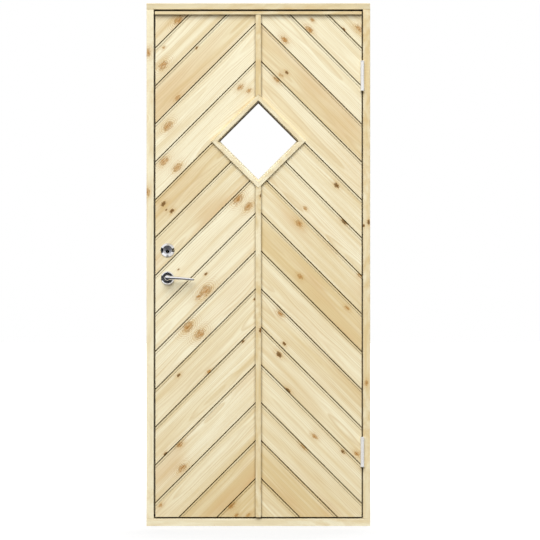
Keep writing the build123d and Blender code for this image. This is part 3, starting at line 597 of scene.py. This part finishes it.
# lever handle: a turned hub with a tapering bar that droops a little and curls back at its tip
lever = {
    "x": -361.0, "z": 987.0, "face": -46.0, "leafMiddle": -17.0,
    "hub": ((0, 3), (9, 3), (9, -12), (9.6, -16), (10.5, -20), (10.5, -46), (10.2, -48.5), (9.2, -50.8), (7.4, -52.2),
            (4, -52.9), (0, -53)),
    "bar": ((0.0, 7.8), (0.08, 7.6), (0.18, 7.0), (0.32, 6.5), (0.48, 6.2), (0.64, 5.9), (0.78, 5.6), (0.88, 5.2),
            (0.95, 4.5), (0.985, 3.2), (1.0, 1.4)),
    "length": 108.0, "reach": 44.0, "droop": 7.0, "curl": 8.0, "sides": 24, "hubSides": 48, "smoothTo": 50,
}
for name, node, back in (("outsideLeverHandle", "outside_lever", False), ("insideLeverHandle", "inside_lever", True)):
    shape = bmesh.new()
    hub = [(radius, lever["face"] + depth) for radius, depth in lever["hub"]]
    turn(shape, hub, lever["x"] * mm, lever["z"] * mm, lever["hubSides"])
    ring = bmesh.ops.create_circle(shape, cap_ends=False, segments=lever["sides"], radius=mm)["verts"]
    rotate(shape, 90, "Y", ring)
    place, size = Vector((0, 0, 0)), 1.0
    for number, (along, radius) in enumerate(lever["bar"]):
        target = Vector((lever["x"] + along * lever["length"],
                         lever["face"] - lever["reach"] + lever["curl"] * along ** 3,
                         lever["z"] - lever["droop"] * along ** 2)) * mm
        if number:
            edges = list({edge for vert in ring for edge in vert.link_edges if all(end in ring for end in edge.verts)})
            ring = newVerts(bmesh.ops.extrude_edge_only(shape, edges=edges)["geom"])
        bmesh.ops.translate(shape, vec=target - place, verts=ring)
        bmesh.ops.scale(shape, vec=(1, radius / size, radius / size), space=Matrix.Translation(-target), verts=ring)
        place, size = target, radius
    bmesh.ops.contextual_create(shape, geom=ring)
    if back:  # the same lever on the inside, mirrored through the middle of the leaf
        middle = Matrix.Translation((0, -lever["leafMiddle"] * mm, 0))
        bmesh.ops.scale(shape, vec=(1, -1, 1), space=middle, verts=shape.verts)
    finishPiece(name, shape, finished["polishedChrome"], "lever", node, lever["smoothTo"])

# lock ring: a bevelled ring round a shallow bowl, which shows bright above and below and dark to the sides
lockRing = {
    "x": -361.0, "z": 1098.0, "faceRadius": 17.4, "plugZ": 1092.0, "bore": 6.7, "boreDepth": (-54.8, -24.0),
    "profile": ((14, -24), (14, -46), (27.5, -46), (27.5, -49.3), (18.8, -58), (18.1, -57.7), (17.5, -57.2)),
    "sides": 72, "same": 0.01, "smoothTo": 12,
}
shape = bmesh.new()
turn(shape, lockRing["profile"], lockRing["x"] * mm, lockRing["z"] * mm, lockRing["sides"])
rimDepth = lockRing["profile"][-1][1]
faceEdge = [edge for edge in shape.edges if all(abs(end.co.y / mm - rimDepth) < lockRing["same"] for end in edge.verts)]
boreSize = {"segments": lockRing["sides"], "radius": lockRing["bore"] * mm}
bore = bmesh.ops.create_circle(shape, cap_ends=False, **boreSize)["verts"]
rotate(shape, 90, "X", bore)
boreFront, boreBack = lockRing["boreDepth"]
bmesh.ops.translate(shape, vec=Vector((lockRing["x"], boreFront, lockRing["plugZ"])) * mm, verts=bore)
boreEdge = list({edge for vert in bore for edge in vert.link_edges})
bmesh.ops.bridge_loops(shape, edges=faceEdge + boreEdge)
sleeve = newVerts(bmesh.ops.extrude_edge_only(shape, edges=boreEdge)["geom"])
bmesh.ops.translate(shape, vec=(0, (boreBack - boreFront) * mm, 0), verts=sleeve)
ringPiece = finishPiece("lockRing", shape, finished["polishedChrome"], "leaf", "lock_cylinder",
                        lockRing["smoothTo"])
ringPiece.data.materials.append(finished["satinChrome"])
for face in ringPiece.data.polygons:
    fromMiddle = math.hypot(face.center.x - lockRing["x"] * mm, face.center.z - lockRing["z"] * mm)
    if fromMiddle < lockRing["faceRadius"] * mm:
        face.material_index = 1

# clear float glass: see-through, with a very slight waviness of 150 mm
floatGlass = {"colour": "#FFFFFF", "bending": 1.5, "ripple": 150.0, "height": 0.2, "strength": 0.05}
glass, tree, shader = blank("clearFloatGlass")
shader.inputs["Transmission Weight"].default_value = 1.0
shader.inputs["Base Color"].default_value = colour(floatGlass["colour"])
shader.inputs["IOR"].default_value = floatGlass["bending"]
shader.inputs["Roughness"].default_value = 0.0
place = add(tree, placeNode, None, None, "Object")
wave = add(tree, noiseNode, {"Scale": 1 / (floatGlass["ripple"] * mm), "Detail": 0.0}, {"Vector": place})
bump = {"Strength": floatGlass["strength"], "Distance": floatGlass["height"] * mm}
tree.links.new(add(tree, bumpNode, bump, {"Height": wave}), shader.inputs["Normal"])
dress(("window_glass",), glass)
print("hardware and glass finished")

# pale floor, soft light from high in front, camera straight on at half height
studio = {
    "floorHalf": 30.0, "floorGrey": "#666666", "floorRough": 0.9,
    "floorGlow": (0.5, 2.4, 0.78, 1.0),  # dimmer near the door, so its shadow stays
    # where each lamp stands, its size and its power: the first for the front, the others for the back and sides
    "lamps": {"keyLight": ((-2.0, -20.0, 18.0), 20.0, 7350.0), "fillLight": ((3.0, 20.0, 16.0), 14.0, 4200.0),
              "leftLight": ((-18.0, 8.0, 9.0), 8.0, 1500.0), "rightLight": ((18.0, 8.0, 9.0), 8.0, 1500.0)},
    "aim": (0.0, 0.0, 1.1), "zenith": 0.72, "horizon": 0.26, "below": 0.14, "belowAt": -0.3,
    "cameraAt": (0.0464, -12.046, 1.0186), "imageWidth": 2.1487, "cameraDistance": 12.0, "sensor": 36, "farthest": 100,
    # dark cards that only the chrome sees: a low wall in front, one on each side, and cloths on the floor
    "cards": {"farCard": ((0, -9, 0.7), (4, 0.7), "upright", "blackVelvet"),
              "leftCard": ((-6, -4.5, 1.7), (5, 1.7), "aside", "blackVelvet"),
              "rightCard": ((6, -4.5, 1.7), (5, 1.7), "aside", "blackVelvet"),
              "leftCloth": ((-4.2, -4.5, 0.01), (1.8, 5), "lying", "blackVelvet"),
              "rightCloth": ((4.2, -4.5, 0.01), (1.8, 5), "lying", "blackVelvet"),
              "nearCloth": ((0, -4.6, 0.02), (2.4, 4.4), "lying", "greyFelt")},
    "cloths": {"blackVelvet": "#14161B", "greyFelt": "#2A2B2F"},
}


def stageSheet(name, middle, halfSizes, way, material):
    shape = bmesh.new()
    bmesh.ops.create_grid(shape, x_segments=1, y_segments=1, size=1.0)
    bmesh.ops.scale(shape, vec=(halfSizes[0], halfSizes[1], 1), verts=shape.verts)
    if way != "lying":
        rotate(shape, 90, "X", shape.verts)
    if way == "aside":
        rotate(shape, 90, "Z", shape.verts)
    bmesh.ops.translate(shape, vec=middle, verts=shape.verts)
    mesh = bpy.data.meshes.new(name)
    shape.to_mesh(mesh)
    shape.free()
    sheet = bpy.data.objects.new(name, mesh)
    scene.collection.objects.link(sheet)
    sheet.data.materials.append(material)
    return sheet


def seenAsWhite(tree):  # for the eye, straight on, through glass or in chrome, but no light for the wood
    path = add(tree, "ShaderNodeLightPath", None, None, None)
    seen = add(tree, mathNode, {"operation": "MAXIMUM"}, {0: path["Is Camera Ray"], 1: path["Is Transmission Ray"]})
    seen = add(tree, mathNode, {"operation": "MAXIMUM"}, {0: seen, 1: path["Is Glossy Ray"]})
    direct = add(tree, mathNode, {"operation": "LESS_THAN", 1: 0.5}, {0: path["Diffuse Depth"]})
    return add(tree, mathNode, {"operation": "MULTIPLY"}, {0: seen, 1: direct})


# white paper: matte, and bright enough to melt into the background
paper, tree, shader = blank("whitePaper")
shader.inputs["Base Color"].default_value = colour(studio["floorGrey"])
shader.inputs["Roughness"].default_value = studio["floorRough"]
place = add(tree, placeNode, None, None, "Object")
away = add(tree, vectorNode, {"operation": "LENGTH"}, {0: place}, "Value")
glow = add(tree, rangeNode, span(*studio["floorGlow"]), {0: away})
glowing = add(tree, mathNode, {"operation": "MULTIPLY"}, {0: seenAsWhite(tree), 1: glow})
shader.inputs["Emission Color"].default_value = (1, 1, 1, 1)
tree.links.new(glowing, shader.inputs["Emission Strength"])
stageSheet("floor", (0, 0, 0), (studio["floorHalf"], studio["floorHalf"]), "lying", paper)

# black velvet and grey felt: dark and quite without gloss
cloths = {}
for name, shade in studio["cloths"].items():
    cloths[name], tree, shader = blank(name)
    shader.inputs["Base Color"].default_value = colour(shade)
    shader.inputs["Roughness"].default_value = 1.0
for name, (middle, halfSizes, way, cloth) in studio["cards"].items():
    card = stageSheet(name, middle, halfSizes, way, cloths[cloth])
    card.visible_camera = card.visible_diffuse = card.visible_transmission = card.visible_shadow = False

world = bpy.data.worlds.new("studio")
world.use_nodes = True
scene.world = world
tree = world.node_tree
tree.nodes.clear()
direction = add(tree, placeNode, None, None, "Generated")
height = add(tree, splitNode, None, {0: direction}, 2)
upper = add(tree, rangeNode, span(0.0, 1.0, studio["horizon"], studio["zenith"]), {0: height})
lower = add(tree, rangeNode, span(studio["belowAt"], 0.0, studio["below"], studio["horizon"]), {0: height})
above = add(tree, mathNode, {"operation": "GREATER_THAN", 1: 0.0}, {0: height})
level = add(tree, mixNode, None, {0: above, 2: lower, 3: upper})
strength = add(tree, mixNode, {3: 1.0}, {0: seenAsWhite(tree), 2: level})
light = add(tree, "ShaderNodeBackground", {"Color": (1, 1, 1, 1)}, {"Strength": strength})
add(tree, "ShaderNodeOutputWorld", None, {"Surface": light}, None)

for name, (at, size, power) in studio["lamps"].items():
    soft = bpy.data.lights.new(name, "AREA")
    soft.energy, soft.size = power, size
    lamp = bpy.data.objects.new(name, soft)
    lamp.visible_glossy = False  # the chrome mirrors only the room and its cards
    lamp.location = at
    lamp.rotation_euler = (Vector(at) - Vector(studio["aim"])).to_track_quat("Z", "Y").to_euler()
    scene.collection.objects.link(lamp)

lens = bpy.data.cameras.new("camera")
lens.lens = studio["sensor"] * studio["cameraDistance"] / studio["imageWidth"]
lens.sensor_width = studio["sensor"]
lens.clip_end = studio["farthest"]
camera = bpy.data.objects.new("camera", lens)
camera.location = studio["cameraAt"]
camera.rotation_euler = (math.radians(90), 0, 0)
scene.collection.objects.link(camera)
scene.camera = camera
print("studio lit")
